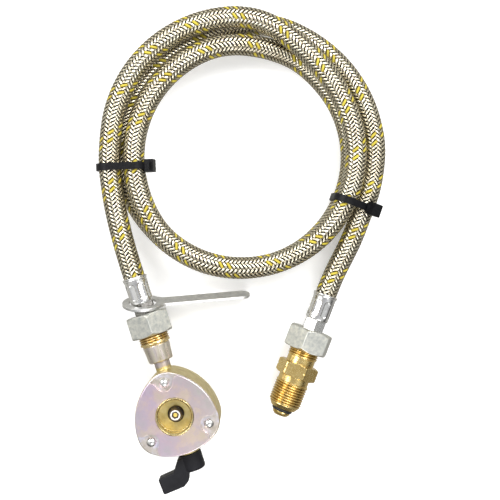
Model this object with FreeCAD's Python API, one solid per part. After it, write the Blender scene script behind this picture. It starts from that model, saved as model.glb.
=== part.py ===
import FreeCAD, Part
import math
import os

V = FreeCAD.Vector
X, Y, Z = V(1, 0, 0), V(0, 1, 0), V(0, 0, 1)

# ---------------------------------------------------------------- driving sizes, mm
# The regulator lies on its domed side. The origin is on the axis of its gas socket, on the surface it
# lies on. +Z is up out of the socket and +Y runs along the outlet towards the hose.

# body of the regulator: a round-cornered triangle seen from above
body_corner_reach = 28.9      # socket axis to a corner of the housing
body_side_reach = 25.2        # socket axis to the middle of a side
body_corner_radius = 14.0
plate_inset = 0.4             # the face plate is this much smaller all round
plate_thickness = 2.4
plate_top = 45.0              # height of the face above the surface
housing_bottom = 12.0         # joint between the housing and the bonnet
housing_edge = 1.0            # rounding of the housing's upper edge
plate_edge = 0.6              # rounding of the plate's upper edge
corner_angles = (90.0, 210.0, 330.0)
rivet_circle_radius = 22.2
rivet_shank_radius = 1.9
rivet_length = 11.0
rivet_head_radius = 3.3
rivet_head_height = 1.9
notch_radius = 5.3            # round bottom of the notch, about the rivet
notch_flare = 3.4             # each side of the notch's mouth opens out by this much
notch_mouth = 0.4             # the mouth begins this far out from the rivet
notch_round = 0.36            # where the round bottom ends, as a share of its radius in from the rivet
notch_bow = 0.22              # how far out the flare is bowed, as a share of notch_flare

# gas socket, where the cylinder valve goes in
socket_bore_radius = 10.6
socket_liner_wall = 1.55
socket_liner_rise = 0.6       # the rim stands proud of the plate
socket_depth = 12.4
socket_rim_edge = 0.4         # bevel of the rim, outside
socket_lead_in = 0.8          # bevel of the rim, inside
lock_groove_below_rim = 6.0
lock_groove_width = 2.0
lock_groove_depth = 0.8
plate_lip_clearance = 0.15

# probe in the middle of the socket, with the pin that opens the cylinder valve
probe_radius = 5.4            # at the socket's floor
probe_top_radius = 3.7
probe_top_below_rim = 6.6
probe_stem_radius = 4.2
probe_stem_below_collar = 0.6
probe_seal_play = 0.05
probe_wall = 1.3
probe_seal_section = 1.2
probe_seal_rises = (1.7, 3.6)  # middle of each seal above the socket's floor
tip_radius = 3.2
tip_height = 1.9
tip_hex_across_flats = 4.4
tip_hex_depth = 0.9
pin_radius = 1.3
pin_collar_radius = 2.3
pin_collar_height = 0.7
pin_travel = 2.0
pin_rise = 0.6                # the pin stands this much below the probe's tip face
pin_spring_wire = 0.4
pin_spring_turns = 3.0
pin_play = 0.1                # between the pin and its holes

# cam shaft and lever
shaft_height = 28.0
shaft_radius = 3.0
cam_radius = 1.9
cam_length = 7.0
cam_lash = 0.4                # gap between the cam and the pin at rest
shaft_boss_radius = 6.8
shaft_boss_rise = 2.0         # beyond the side of the housing
lever_gap = 0.4
lever_hub_radius = 7.5
lever_hub_length = 11.4
lever_hub_edge = 2.2
lever_thickness = 11.0
lever_corner = 1.2            # rounding of the corners seen from above
lever_edge = 0.7              # rounding of the upper and lower edges
# the wing seen from above: place along X, and how far out from the start of the lever
lever_outline = [(-3.0, 1.3), (-8.5, 1.3), (-13.3, 8.1), (-24.1, 9.3), (-23.5, 20.0), (-9.4, 18.9),
                 (-5.5, 16.2), (-3.0, 9.4)]
shaft_square = 4.2
shaft_square_length = 6.0
lever_screw_head_radius = 3.0
lever_screw_head_height = 1.8
lever_screw_head_recess = 2.4
lever_screw_cross = (4.4, 0.8, 1.0)  # length, width and depth of each slot of the cross
lever_screw_radius = 1.2
lever_screw_length = 7.0
shaft_seal_section = 1.1
shaft_seal_place = 22.0
shaft_play = 0.05             # between the shaft and its hole
shaft_square_play = 0.05

# pressure stage under the socket: seat, relay lever, diaphragm and spring
chamber_radius = 14.0
chamber_top = 22.0
seat_place = 10.2             # along +Y from the socket axis
seat_radius = 2.6
seat_bore = 0.9
seat_tip = 1.4                # how far the seat stands into the chamber
passage_radius = 1.5
relay_pivot_place = 6.0
relay_pivot_height = 17.6
relay_pin_radius = 0.8
relay_pin_length = 7.4
relay_eye_radius = 1.7
relay_back = 1.2              # how far the lever reaches behind the socket axis
relay_front = 1.4             # and beyond the seat
lug_width = 1.6               # the two lugs that hold the relay pin
lug_length = 3.6
lug_gap = 0.3                 # between a lug and the relay lever
relay_width = 3.6
relay_thickness = 1.2
relay_pad_gap = 0.8           # the pad hangs this far below the seat when the stage is open
diaphragm_radius = 17.0
diaphragm_thickness = 1.0
diaphragm_plate_radius = 10.5
diaphragm_plate_thickness = 1.2
diaphragm_stem_radius = 1.6
bonnet_wall = 1.8
bonnet_flange = 4.0
bonnet_bevel = 2.2
bonnet_ledge = 1.0            # how much narrower the spring's room is than the chamber above
bonnet_flat_radius = 12.0
bonnet_dome_radius = 18.6
range_spring_radius = 6.6
range_spring_wire = 1.1
range_spring_turns = 4.0
bonnet_screw_circle = 20.3
bonnet_screw_radius = 1.25
bonnet_screw_head_radius = 2.4
bonnet_screw_length = 9.0
bonnet_screw_head_height = 1.7
bonnet_screw_seat = 1.9       # depth of metal left under each screw head
bonnet_screw_slot = (0.7, 0.8)  # width and depth
screw_angles = (30.0, 150.0, 270.0)

# outlet and the union to the hose; places are along +Y from the socket axis
outlet_height = 20.0
outlet_bore = 3.0
outlet_neck_radius = 5.2
outlet_neck_end = body_corner_reach + 5.5
boss_small_radius = 8.05
boss_large_radius = 9.0
boss_length = 11.4
boss_spigot_length = 5.0
boss_spigot_wall = 1.6
union_thread_radius = 10.0    # M20 x 1.5
union_shoulder = 1.2
union_spigot_radius = 6.0
union_spigot_length = 5.0
union_length = 14.2
union_bare_thread = 6.7       # thread that shows between the boss and the nut
nut_across_flats = 27.0
nut_length = 14.5
near_nut_turn = 96.0          # degrees that a corner of the nut stands above level
far_nut_turn = -17.0
nut_chamfer = 1.6
nut_back_wall = 3.6
thread_clearance = 0.06
washer_thickness = 1.4
washer_radius = 8.6
washer_hole_radius = 4.5
tail_flange_radius = 9.2
tail_flange_thickness = 1.4
tail_hex_across_flats = 13.0
tail_hex_clearance = 0.2
tail_bore = 2.6
tail_barb_radius = 4.3
tail_stem_radius = 3.7
tail_barbs = 4
neck_gap = 7.2                # bare neck between the nut and the ferrule

# crimped ferrule
ferrule_length = 18.1
ferrule_radius = 7.6
ferrule_lip_radius = 8.3
ferrule_lip_length = 1.6
crimp_panels = 8
crimp_depth = 0.55
crimp_margin = 2.6
crimp_width_share = 0.62

# spanner carried on the neck
spanner_thickness = 1.9
spanner_hole_play = 1.6       # between the hole and the corners of the neck
spanner_eye_wall = 4.4
spanner_width = 12.0
spanner_reach = 72.0
spanner_root_radius = 6.0     # where the arm leaves the eye
spanner_gap = 7.0             # from the nut's back to the middle of the eye
spanner_yaw = -13.5
spanner_lean = 18.0
spanner_droop = 11.5
spanner_hang = 0.3            # the eye hangs this much below the middle of the neck

# hose
hose_radius = 7.25
hose_bore_radius = 4.0
coil_step = 27.0              # about one point of the route every 27 degrees of a turn
lead_in = [(0, 108, 20), (1, 127, 20), (3, 146, 21)]   # from the near ferrule to the coil
lead_out = [(169, 103, 16.4), (156, 86, 16.2), (144, 71, 15.5), (133, 60, 15.2), (124.1, 51, 15.2),
            (117, 42.2, 15.2)]
bend_share = 0.45             # of the shorter run at a point, used up by the bend there
# Each row is one stretch of a turn, lying on its own circle: centre x and y, radius of the hose's
# middle line, first and last clock angle going clockwise, and first and last height.
coil_stretches = [
    (91.3, 155.5, 82.4, 168, 88, 22.0, 21.6),
    (91.3, 155.5, 82.4, 62, 62, 22.5, 22.5),
    (92.5, 148.5, 78.3, 40, 40, 22.6, 22.6),
    (92.5, 147.5, 75.0, 14, -41, 22.6, 23.8),
    (92.5, 147.5, 75.0, -68, -151, 23.2, 22.8),
    (96.3, 144.2, 75.2, -180, 84, 22.0, 21.0),
    (94.5, 142.8, 75.1, 58, 58, 11.8, 11.8),
    (91.0, 147.0, 74.5, 34, -47, 7.4, 8.9),
    (91.0, 147.0, 74.5, -73, -150, 7.8, 7.8),
    (93.4, 151.2, 79.6, -175, 86, 9.1, 7.4),
    (91.5, 148.0, 90.0, 60, 60, 7.4, 7.4),
    (91.5, 148.0, 88.4, 35, -11, 11.0, 16.0),
]

# cylinder fitting at the far end; lengths run along its axis from the ferrule
far_union_thread_end = 4.6    # bare thread beyond the nut
far_union_length = 12.0       # thread inside the nut and bare
far_collar_radius = 9.3
far_collar_length = 4.7
pol_hex_across_flats = 24.0
pol_hex_length = 9.2
pol_hex_turn = 9.0            # degrees that a corner of the hexagon stands above level
pol_hex_mark = 0.8            # notch at the corners that marks a left-hand thread
pol_collar_radius = 10.2
pol_collar_length = 4.1
pol_thread_radius = 10.9      # W21.8, left hand
pol_thread_length = 14.2
pol_cone_length = 4.0
pol_cone_tip_radius = 8.0
pol_groove_radius = 5.4
pol_groove_length = 2.1
pol_ring_radius = 6.9
pol_nose_length = 3.0
pol_nose_radius = 6.0
pol_nose_tip_radius = 4.0
pol_bore = 2.6

# cable ties
tie_width = 4.6
tie_thickness = 1.2
tie_clearance = 0.3
tie_head = (8.2, 7.4, 6.0)    # along the hose, round the strap, and out from the hose
tie_head_slot = 3.0           # where the strap's cut end comes out of the head
tie_tail_length = 2.6
tie_left_place = (14.1, 163.9, 15.0)
tie_left_heading = 16.0       # degrees from +Y towards +X
tie_left_head_rise = 8.0      # degrees that the head stands above level
tie_right_place = (152.1, 94.3, 15.0)
tie_right_heading = 37.0
tie_right_head_rise = 55.0

# ---------------------------------------------------------------- places that follow from the sizes
housing_top = plate_top - plate_thickness
socket_rim = plate_top + socket_liner_rise
socket_floor = plate_top - socket_depth
probe_top = socket_rim - probe_top_below_rim
cam_throw = pin_travel / 2
shaft_boss_end = body_side_reach + shaft_boss_rise
pin_bottom = shaft_height - cam_throw + cam_radius + cam_lash
pin_top = probe_top - pin_rise
pin_collar_bottom = shaft_height + shaft_radius + 0.9
probe_bottom = pin_collar_bottom - probe_stem_below_collar
lever_start = shaft_boss_end + lever_gap
probe_seal_heights = [socket_floor + rise for rise in probe_seal_rises]
boss_end = outlet_neck_end + boss_length
union_end = boss_end + union_length
nut_start = boss_end + union_bare_thread
nut_end = nut_start + nut_length
spanner_place = nut_end + spanner_gap
spanner_hole_radius = tail_hex_across_flats / math.sqrt(3) + spanner_hole_play
spanner_eye_radius = spanner_hole_radius + spanner_eye_wall
ferrule_start = nut_end + neck_gap
ferrule_end = ferrule_start + ferrule_length


def cylinder(radius, length, base, axis):
    return Part.makeCylinder(radius, length, base, axis)


def hexagon(across_flats, length, base, axis, corner_direction):
    """Six-sided prism with a corner pointing along corner_direction."""
    reach = across_flats / math.sqrt(3)
    corner = V(corner_direction)
    corner.normalize()
    side = axis.cross(corner)
    points = []
    for k in range(7):
        a = math.radians(60 * k)
        points.append(base + corner * (reach * math.cos(a)) + side * (reach * math.sin(a)))
    return Part.Face(Part.makePolygon(points)).extrude(axis * length)


def turned(profile, base, axis):
    """Solid turned about an axis; the profile is (radius, place along the axis) pairs."""
    points = [V(r, 0, h) for r, h in profile]
    points.append(points[0])
    solid = Part.Face(Part.makePolygon(points)).revolve(V(0, 0, 0), Z, 360)
    solid.Placement = FreeCAD.Placement(base, FreeCAD.Rotation(Z, axis))
    return solid


def polar(radius, degrees, height):
    a = math.radians(degrees)
    return V(radius * math.cos(a), radius * math.sin(a), height)


def body_outline(inset, bottom, top):
    """The round-cornered triangle, shrunk by inset, between two heights."""
    corner = body_corner_radius - inset
    reach = body_corner_reach - inset
    flat = body_side_reach - inset
    centre = reach - corner
    inner = flat - corner
    offset = (centre ** 2 - inner ** 2) / (2 * inner - centre)
    side_radius = offset + flat
    edges = []
    for angle in corner_angles:
        corner_centre = polar(centre, angle, bottom)
        before = polar(-offset, angle - 60, bottom)
        after = polar(-offset, angle + 60, bottom)
        first = corner_centre + (corner_centre - before).normalize() * corner
        last = corner_centre + (corner_centre - after).normalize() * corner
        edges.append(Part.Arc(first, polar(reach, angle, bottom), last).toShape())
        next_corner = polar(centre, angle + 120, bottom)
        next_first = next_corner + (next_corner - after).normalize() * corner
        middle = after + polar(side_radius, angle + 60, 0)
        edges.append(Part.Arc(last, middle, next_first).toShape())
    return Part.Face(Part.Wire(edges)).extrude(Z * (top - bottom))


def rivet_places(height):
    return [polar(rivet_circle_radius, angle, height) for angle in corner_angles]


def screw_places(height):
    return [polar(bonnet_screw_circle, angle, height) for angle in screw_angles]


def spring(radius, wire, turns, base, length):
    """Open coil of round wire with its ends inside the given length."""
    rise = length - wire
    pitch = rise / turns
    helix = Part.makeHelix(pitch, rise, radius)
    along = V(0, 2 * math.pi * radius, pitch)
    section = Part.Wire(Part.makeCircle(wire / 2, V(radius, 0, 0), along))
    coil = helix.makePipeShell([section], True, True)
    coil.translate(base + Z * (wire / 2))
    return coil


# ---------------------------------------------------------------- regulator body
def housing():
    body = body_outline(0, housing_bottom, housing_top)
    body = body.makeFillet(housing_edge, [e for e in body.Edges if e.BoundBox.ZMin > housing_top - 0.01])
    boss = cylinder(shaft_boss_radius, shaft_boss_end, V(0, 0, shaft_height), -Y)
    neck = cylinder(outlet_neck_radius, outlet_neck_end, V(0, 0, outlet_height), Y)
    body = body.fuse([boss, neck])
    cuts = [
        cylinder(socket_bore_radius + socket_liner_wall, 60, V(0, 0, socket_floor), Z),
        cylinder(probe_stem_radius, 30, V(0, 0, probe_bottom), Z),
        cylinder(pin_radius + pin_play, 10, V(0, 0, shaft_height), Z),
        cylinder(shaft_radius + shaft_play, 60, V(0, cam_length / 2 + 1, shaft_height), -Y),
        cylinder(passage_radius, seat_place, V(0, 0, shaft_height), Y),
        cylinder(passage_radius, shaft_height - chamber_top + 2, V(0, seat_place, shaft_height), -Z),
        cylinder(seat_radius, 4, V(0, seat_place, chamber_top), Z),
        cylinder(chamber_radius, chamber_top - housing_bottom, V(0, 0, housing_bottom), Z),
        cylinder(outlet_bore, 40, V(0, chamber_radius - 2, outlet_height), Y),
        cylinder(outlet_bore + 1.0, boss_spigot_length, V(0, outlet_neck_end, outlet_height), -Y),
    ]
    for place in rivet_places(housing_top - rivet_length):
        cuts.append(cylinder(rivet_shank_radius, rivet_length, place, Z))
    for place in screw_places(housing_bottom - 0.1):
        cuts.append(cylinder(bonnet_screw_radius, bonnet_screw_length, place, Z))
    body = body.cut(cuts)
    lugs = []
    lug_bottom = relay_pivot_height - lug_length / 2
    for side in (-1, 1):
        middle = side * (relay_width / 2 + lug_gap + lug_width / 2)
        lug = Part.makeBox(lug_width, lug_length, chamber_top - lug_bottom)
        lug.translate(V(middle - lug_width / 2, relay_pivot_place - lug_length / 2, lug_bottom))
        lugs.append(lug)
    body = body.fuse(lugs)
    return body.cut(relay_pin())


def relay_pin():
    start = V(-relay_pin_length / 2, relay_pivot_place, relay_pivot_height)
    return cylinder(relay_pin_radius, relay_pin_length, start, X)


def face_plate():
    plate = body_outline(plate_inset, housing_top, plate_top)
    top = [e for e in plate.Edges if e.BoundBox.ZMin > plate_top - 0.01]
    plate = plate.makeFillet(plate_edge, top)
    hole = socket_bore_radius + socket_liner_wall + plate_lip_clearance
    cuts = [cylinder(hole, 10, V(0, 0, housing_top - 1), Z)]
    for angle in corner_angles:
        tool = notch()
        tool.rotate(V(0, 0, 0), Z, angle)
        cuts.append(tool)
    return plate.cut(cuts)


def notch():
    """Tool for one notch on the +X side: round bottom about the rivet, sides that open out at the mouth."""
    low = housing_top - 1
    mouth = rivet_circle_radius + notch_mouth
    bottom = V(rivet_circle_radius - notch_radius, 0, low)
    side_start = rivet_circle_radius - notch_radius * notch_round
    before = V(side_start, notch_radius * math.sqrt(1 - notch_round ** 2), low)
    start = V(mouth - notch_flare / 2, notch_radius, low)
    middle = V(mouth + notch_flare * notch_bow, notch_radius + notch_flare * 0.36, low)
    corner = V(mouth + notch_flare / 2, notch_radius + notch_flare, low)
    far = V(body_corner_reach + 4, notch_radius + 3 * notch_flare, low)
    half = [before, start, middle, corner, far]
    other = [V(p.x, -p.y, low) for p in half]
    edges = [Part.Arc(before, bottom, other[0])]
    for side in (half, other):
        edges.append(Part.LineSegment(side[0], side[1]))
        edges.append(Part.Arc(side[1], side[2], side[3]))
        edges.append(Part.LineSegment(side[3], side[4]))
    edges.append(Part.LineSegment(half[4], other[4]))
    wire = Part.Wire(Part.sortEdges([edge.toShape() for edge in edges])[0])
    return Part.Face(wire).extrude(Z * 10)


def rivets():
    solids = []
    for place in rivet_places(housing_top):
        shank = cylinder(rivet_shank_radius, rivet_length, place - Z * rivet_length, Z)
        ball = (rivet_head_radius ** 2 + rivet_head_height ** 2) / (2 * rivet_head_height)
        dome = Part.makeSphere(ball, place + Z * (rivet_head_height - ball))
        head = dome.common(cylinder(rivet_head_radius, rivet_head_height + 1, place, Z))
        solids.append(shank.fuse(head))
    return Part.Compound(solids)


def socket_liner():
    outer = socket_bore_radius + socket_liner_wall
    inner = socket_bore_radius
    high = socket_rim - socket_floor
    groove_top = high - lock_groove_below_rim
    groove_bottom = groove_top - lock_groove_width
    groove = inner + lock_groove_depth
    profile = [(inner, 0), (outer, 0), (outer, high - socket_rim_edge), (outer - socket_rim_edge, high),
               (inner + socket_lead_in, high), (inner, high - socket_lead_in), (inner, groove_top),
               (groove, groove_top), (groove, groove_bottom), (inner, groove_bottom)]
    return turned(profile, V(0, 0, socket_floor), Z)


def probe_radius_at(height):
    share = (height - socket_floor) / (probe_top - socket_floor)
    return probe_radius + (probe_top_radius - probe_radius) * share


def probe():
    """Tapered probe: a stem in the housing, a cone with a groove for each seal, and a seat for the tip."""
    bore = probe_stem_radius - probe_wall
    tip_floor = probe_top - tip_height
    half = probe_seal_section / 2 + probe_seal_play
    profile = [(bore, probe_bottom), (probe_stem_radius, probe_bottom), (probe_stem_radius, socket_floor),
               (probe_radius, socket_floor)]
    for height in probe_seal_heights:
        floor = probe_radius_at(height) - probe_seal_section * 0.75
        profile += [(probe_radius_at(height - half), height - half), (floor, height - half),
                    (floor, height + half), (probe_radius_at(height + half), height + half)]
    profile += [(probe_top_radius, probe_top), (tip_radius, probe_top), (tip_radius, tip_floor),
                (bore, tip_floor)]
    return turned(profile, V(0, 0, 0), Z)


def probe_seals():
    rings = []
    for height in probe_seal_heights:
        middle = probe_radius_at(height) - probe_seal_section * 0.25
        rings.append(Part.makeTorus(middle, probe_seal_section / 2, V(0, 0, height), Z))
    return Part.Compound(rings)


def probe_tip():
    base = V(0, 0, probe_top - tip_height)
    ring = cylinder(tip_radius, tip_height, base, Z)
    recess = hexagon(tip_hex_across_flats, 5, V(0, 0, probe_top - tip_hex_depth), Z, X)
    return ring.cut([recess, cylinder(pin_radius + pin_play, 10, base - Z, Z)])


def push_pin():
    rod = cylinder(pin_radius, pin_top - pin_bottom, V(0, 0, pin_bottom), Z)
    rod = rod.makeFillet(0.4, [rod.Edges[0], rod.Edges[2]])
    collar = cylinder(pin_collar_radius, pin_collar_height, V(0, 0, pin_collar_bottom), Z)
    return rod.fuse(collar)


def pin_spring():
    bottom = pin_collar_bottom + pin_collar_height + 0.05
    top = probe_top - tip_height - 0.05
    radius = pin_radius + 0.15 + pin_spring_wire / 2
    return spring(radius, pin_spring_wire, pin_spring_turns, V(0, 0, bottom), top - bottom)


# ---------------------------------------------------------------- cam shaft and lever
def cam_shaft():
    neck_place = cam_length / 2
    square_end = lever_start + shaft_square_length
    rod = cylinder(shaft_radius, lever_start - neck_place, V(0, -lever_start, shaft_height), Y)
    cam = cylinder(cam_radius, cam_length, V(0, -neck_place, shaft_height - cam_throw), Y)
    end = cylinder(shaft_radius, 0.8, V(0, neck_place, shaft_height), Y)
    square = Part.makeBox(shaft_square, shaft_square_length, shaft_square)
    square.translate(V(-shaft_square / 2, -square_end, shaft_height - shaft_square / 2))
    body = rod.fuse([cam, end, square])
    hole = cylinder(lever_screw_radius, lever_screw_length, V(0, -square_end, shaft_height), Y)
    groove = shaft_groove(shaft_radius + 1)
    return body.cut([hole, groove])


def shaft_groove(outer):
    width = shaft_seal_section + 0.3
    base = V(0, -shaft_seal_place - width / 2, shaft_height)
    core = cylinder(shaft_radius - shaft_seal_section + 0.05, width, base, Y)
    return cylinder(outer, width, base, Y).cut(core)


def shaft_seal():
    middle = shaft_radius - shaft_seal_section / 2 + 0.03
    return Part.makeTorus(middle, shaft_seal_section / 2 - 0.06, V(0, -shaft_seal_place, shaft_height), Y)


def lever():
    end = lever_start + lever_hub_length
    hub = cylinder(lever_hub_radius, lever_hub_length, V(0, -lever_start, shaft_height), -Y)
    hub = hub.makeFillet(lever_hub_edge, [e for e in hub.Edges if e.BoundBox.YMax < -end + 0.01])
    low = shaft_height - lever_thickness / 2
    outline = [V(x, -lever_start - out, low) for x, out in lever_outline]
    wing = Part.Face(Part.makePolygon(outline + outline[:1])).extrude(Z * lever_thickness)
    uprights = []
    for edge in wing.Edges:
        foot = V(edge.BoundBox.XMin, edge.BoundBox.YMin, low)
        if edge.BoundBox.ZLength > 1 and min((foot - p).Length for p in outline[1:7]) < 0.1:
            uprights.append(edge)
    wing = wing.makeFillet(lever_corner, uprights)
    wing = wing.makeFillet(lever_edge, [e for e in wing.Edges if e.BoundBox.ZLength < 0.01])
    body = hub.fuse(wing)
    width = shaft_square + 2 * shaft_square_play
    depth = shaft_square_length + 0.2
    square = Part.makeBox(width, depth, width)
    square.translate(V(-width / 2, -lever_start - depth, shaft_height - width / 2))
    screw_hole = cylinder(lever_screw_radius + 0.15, 30, V(0, -lever_start, shaft_height), -Y)
    seat = V(0, lever_screw_head_recess - end, shaft_height)
    head_hole = cylinder(lever_screw_head_radius + 0.2, 10, seat, -Y)
    return body.cut([square, screw_hole, head_hole])


def lever_screw():
    seat = lever_screw_head_recess - lever_start - lever_hub_length
    head = cylinder(lever_screw_head_radius, lever_screw_head_height, V(0, seat, shaft_height), -Y)
    length = lever_hub_length - lever_screw_head_recess - shaft_square_length + lever_screw_length - 0.6
    shank = cylinder(lever_screw_radius, length, V(0, seat, shaft_height), Y)
    slot_length, slot_width, slot_depth = lever_screw_cross
    slots = []
    for wide, high in ((slot_length, slot_width), (slot_width, slot_length)):
        slot = Part.makeBox(wide, slot_depth, high)
        slot.translate(V(-wide / 2, seat - lever_screw_head_height, shaft_height - high / 2))
        slots.append(slot)
    return head.fuse(shank).cut(slots)


# ---------------------------------------------------------------- pressure stage
def valve_seat():
    bottom = chamber_top - seat_tip
    profile = [(seat_bore, bottom), (seat_bore + 0.5, bottom), (seat_radius - 0.4, chamber_top - 0.2),
               (seat_radius, chamber_top), (seat_radius, chamber_top + 3.9), (seat_bore, chamber_top + 3.9)]
    return turned(profile, V(0, seat_place, 0), Z)


def relay_lever():
    bar_bottom = relay_pivot_height - relay_thickness / 2
    bar = Part.makeBox(relay_width, relay_back + seat_place + relay_front, relay_thickness)
    bar.translate(V(-relay_width / 2, -relay_back, bar_bottom))
    side = V(-relay_width / 2, relay_pivot_place, relay_pivot_height)
    eye = cylinder(relay_eye_radius, relay_width, side, X)
    pad_top = chamber_top - seat_tip - relay_pad_gap
    pad = cylinder(relay_eye_radius, pad_top - bar_bottom, V(0, seat_place, bar_bottom), Z)
    hole = cylinder(relay_pin_radius + 0.05, 10, V(-5, relay_pivot_place, relay_pivot_height), X)
    return bar.fuse([eye, pad]).cut(hole)


def diaphragm():
    disc = cylinder(diaphragm_radius, diaphragm_thickness, V(0, 0, housing_bottom - diaphragm_thickness), Z)
    return disc.cut(cylinder(diaphragm_stem_radius + 0.05, 5, V(0, 0, housing_bottom - 3), Z))


def diaphragm_plate():
    underside = housing_bottom - diaphragm_thickness - 0.1
    disc = cylinder(diaphragm_plate_radius, diaphragm_plate_thickness, V(0, 0, underside), -Z)
    stem_top = relay_pivot_height - relay_thickness / 2 - 0.3
    stem = cylinder(diaphragm_stem_radius, stem_top - underside, V(0, 0, underside), Z)
    return disc.fuse(stem)


def bonnet():
    joint = housing_bottom - diaphragm_thickness
    flange = body_outline(0, joint - bonnet_flange, housing_bottom)
    seat = cylinder(diaphragm_radius + 0.05, diaphragm_thickness, V(0, 0, joint), Z)
    dome = turned([(0, 0), (bonnet_flat_radius, 0), (bonnet_dome_radius - bonnet_bevel, bonnet_bevel),
                   (bonnet_dome_radius, joint - bonnet_flange), (bonnet_dome_radius, joint - 1),
                   (0, joint - 1)], V(0, 0, 0), Z)
    cuts = [seat, cylinder(chamber_radius - bonnet_ledge, 20, V(0, 0, bonnet_wall), Z)]
    for place in screw_places(joint - bonnet_flange + bonnet_screw_seat):
        cuts.append(cylinder(bonnet_screw_radius + 0.1, 20, place, Z))
        cuts.append(cylinder(bonnet_screw_head_radius + 0.2, 20, place, -Z))
    return flange.fuse(dome).cut(cuts)


def range_spring():
    top = housing_bottom - diaphragm_thickness - 0.1 - diaphragm_plate_thickness - 0.05
    bottom = bonnet_wall + 0.05
    return spring(range_spring_radius, range_spring_wire, range_spring_turns, Z * bottom, top - bottom)


def bonnet_screws():
    solids = []
    seat = housing_bottom - diaphragm_thickness - bonnet_flange + bonnet_screw_seat
    slot_width, slot_depth = bonnet_screw_slot
    for place in screw_places(seat):
        shank = cylinder(bonnet_screw_radius, bonnet_screw_length - 1.0, place, Z)
        head = cylinder(bonnet_screw_head_radius, bonnet_screw_head_height, place, -Z)
        slot = Part.makeBox(4 * bonnet_screw_head_radius, slot_width, slot_depth)
        slot.translate(place - V(2 * bonnet_screw_head_radius, slot_width / 2, bonnet_screw_head_height))
        solids.append(shank.fuse(head).cut(slot))
    return Part.Compound(solids)


# ---------------------------------------------------------------- outlet and hose union
def outlet_boss():
    spigot = outlet_bore + 1.0
    bore = spigot - boss_spigot_wall
    pocket = boss_length - union_spigot_length
    profile = [(bore, -boss_spigot_length), (spigot, -boss_spigot_length), (spigot, 0),
               (boss_small_radius - 0.5, 0), (boss_small_radius, 0.5), (boss_large_radius, boss_length - 0.4),
               (boss_large_radius - 0.4, boss_length), (union_spigot_radius, boss_length),
               (union_spigot_radius, pocket), (bore, pocket)]
    return turned(profile, V(0, outlet_neck_end, outlet_height), Y)


def outlet_union():
    """Threaded half of the union: spigot, undercut, M20 thread drawn at its outer size, flat sealing end."""
    thread = union_thread_radius
    profile = [(tail_bore, -union_spigot_length), (union_spigot_radius, -union_spigot_length),
               (union_spigot_radius, 0), (thread - 1.2, 0), (thread - 1.2, 0.7), (thread - 0.5, 0.7),
               (thread, union_shoulder), (thread, union_length - 0.8), (thread - 0.8, union_length),
               (tail_bore, union_length)]
    return turned(profile, V(0, boss_end, outlet_height), Y)


def coupling_nut(base, axis, corner_direction):
    """Union nut: hexagon with both ends turned off, threaded bore, back wall with the neck hole."""
    reach = nut_across_flats / math.sqrt(3)
    prism = hexagon(nut_across_flats, nut_length, base, axis, corner_direction)
    rim = reach - nut_chamfer * 1.4
    blank = turned([(0, 0), (rim, 0), (reach + 0.1, nut_chamfer), (reach + 0.1, nut_length - nut_chamfer),
                    (rim, nut_length), (0, nut_length)], base, axis)
    thread = cylinder(union_thread_radius + thread_clearance, nut_length - nut_back_wall, base, axis)
    neck_hole = tail_hex_across_flats / math.sqrt(3) + tail_hex_clearance
    return prism.common(blank).cut([thread, cylinder(neck_hole, nut_length + 2, base - axis, axis)])


def raised_corner(axis, degrees):
    """Direction square to a level axis, raised by some degrees from level."""
    rise = math.radians(degrees)
    return Z.cross(axis) * math.cos(rise) + Z * math.sin(rise)


def hose_tail(face, axis, corner_direction):
    """Hose tail: sealing flange held by the nut, hexagon neck, and a barbed stem crimped in the hose."""
    back = face + axis * tail_flange_thickness
    flange = cylinder(tail_flange_radius, tail_flange_thickness, face, axis)
    neck_length = nut_end - union_end - washer_thickness - tail_flange_thickness + neck_gap
    neck = hexagon(tail_hex_across_flats, neck_length, back, axis, corner_direction)
    barb_start = back + axis * neck_length
    pitch = (ferrule_length - 2.0) / tail_barbs
    profile = [(0, 0), (tail_stem_radius, 0)]
    for k in range(tail_barbs):
        profile.append((tail_barb_radius, k * pitch + 0.3))
        profile.append((tail_stem_radius, (k + 1) * pitch))
    profile.append((0, tail_barbs * pitch))
    stem = turned(profile, barb_start, axis)
    body = flange.fuse([neck, stem])
    return body.cut(cylinder(tail_bore, 60, face - axis, axis))


def sealing_washer(face, axis):
    ring = cylinder(washer_radius, washer_thickness, face, axis)
    return ring.cut(cylinder(washer_hole_radius, washer_thickness + 2, face - axis, axis))


def ferrule(base, axis, up):
    """Crimped sleeve: a thin tube with pressed-in panels and a lip where the hose goes in."""
    profile = [(hose_bore_radius + 0.6, 0), (ferrule_radius - 0.8, 0), (ferrule_radius, 0.9),
               (ferrule_radius, ferrule_length - ferrule_lip_length - 0.6),
               (ferrule_lip_radius, ferrule_length - ferrule_lip_length), (ferrule_lip_radius, ferrule_length),
               (hose_bore_radius + 0.6, ferrule_length)]
    body = turned(profile, base, axis)
    panel_length = ferrule_length - ferrule_lip_length - 2 * crimp_margin
    panel_width = 2 * math.pi * ferrule_radius / crimp_panels * crimp_width_share
    side = axis.cross(up)
    matrix = FreeCAD.Matrix(side.x, axis.x, up.x, 0, side.y, axis.y, up.y, 0,
                            side.z, axis.z, up.z, 0, 0, 0, 0, 1)
    panels = []
    for k in range(crimp_panels):
        angle = 360 / crimp_panels * (k + 0.5)
        panel = Part.makeBox(panel_width, panel_length, 4, V(-panel_width / 2, 0, 0))
        upright = [e for e in panel.Edges if e.BoundBox.ZLength > 3.9]
        panel = panel.makeFillet(panel_width * 0.42, upright)
        panel.translate(V(0, crimp_margin, ferrule_radius - crimp_depth))
        panel = panel.transformGeometry(matrix)
        panel.rotate(V(0, 0, 0), axis, angle)
        panel.translate(base)
        panels.append(panel)
    return body.cut(panels)


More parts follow.
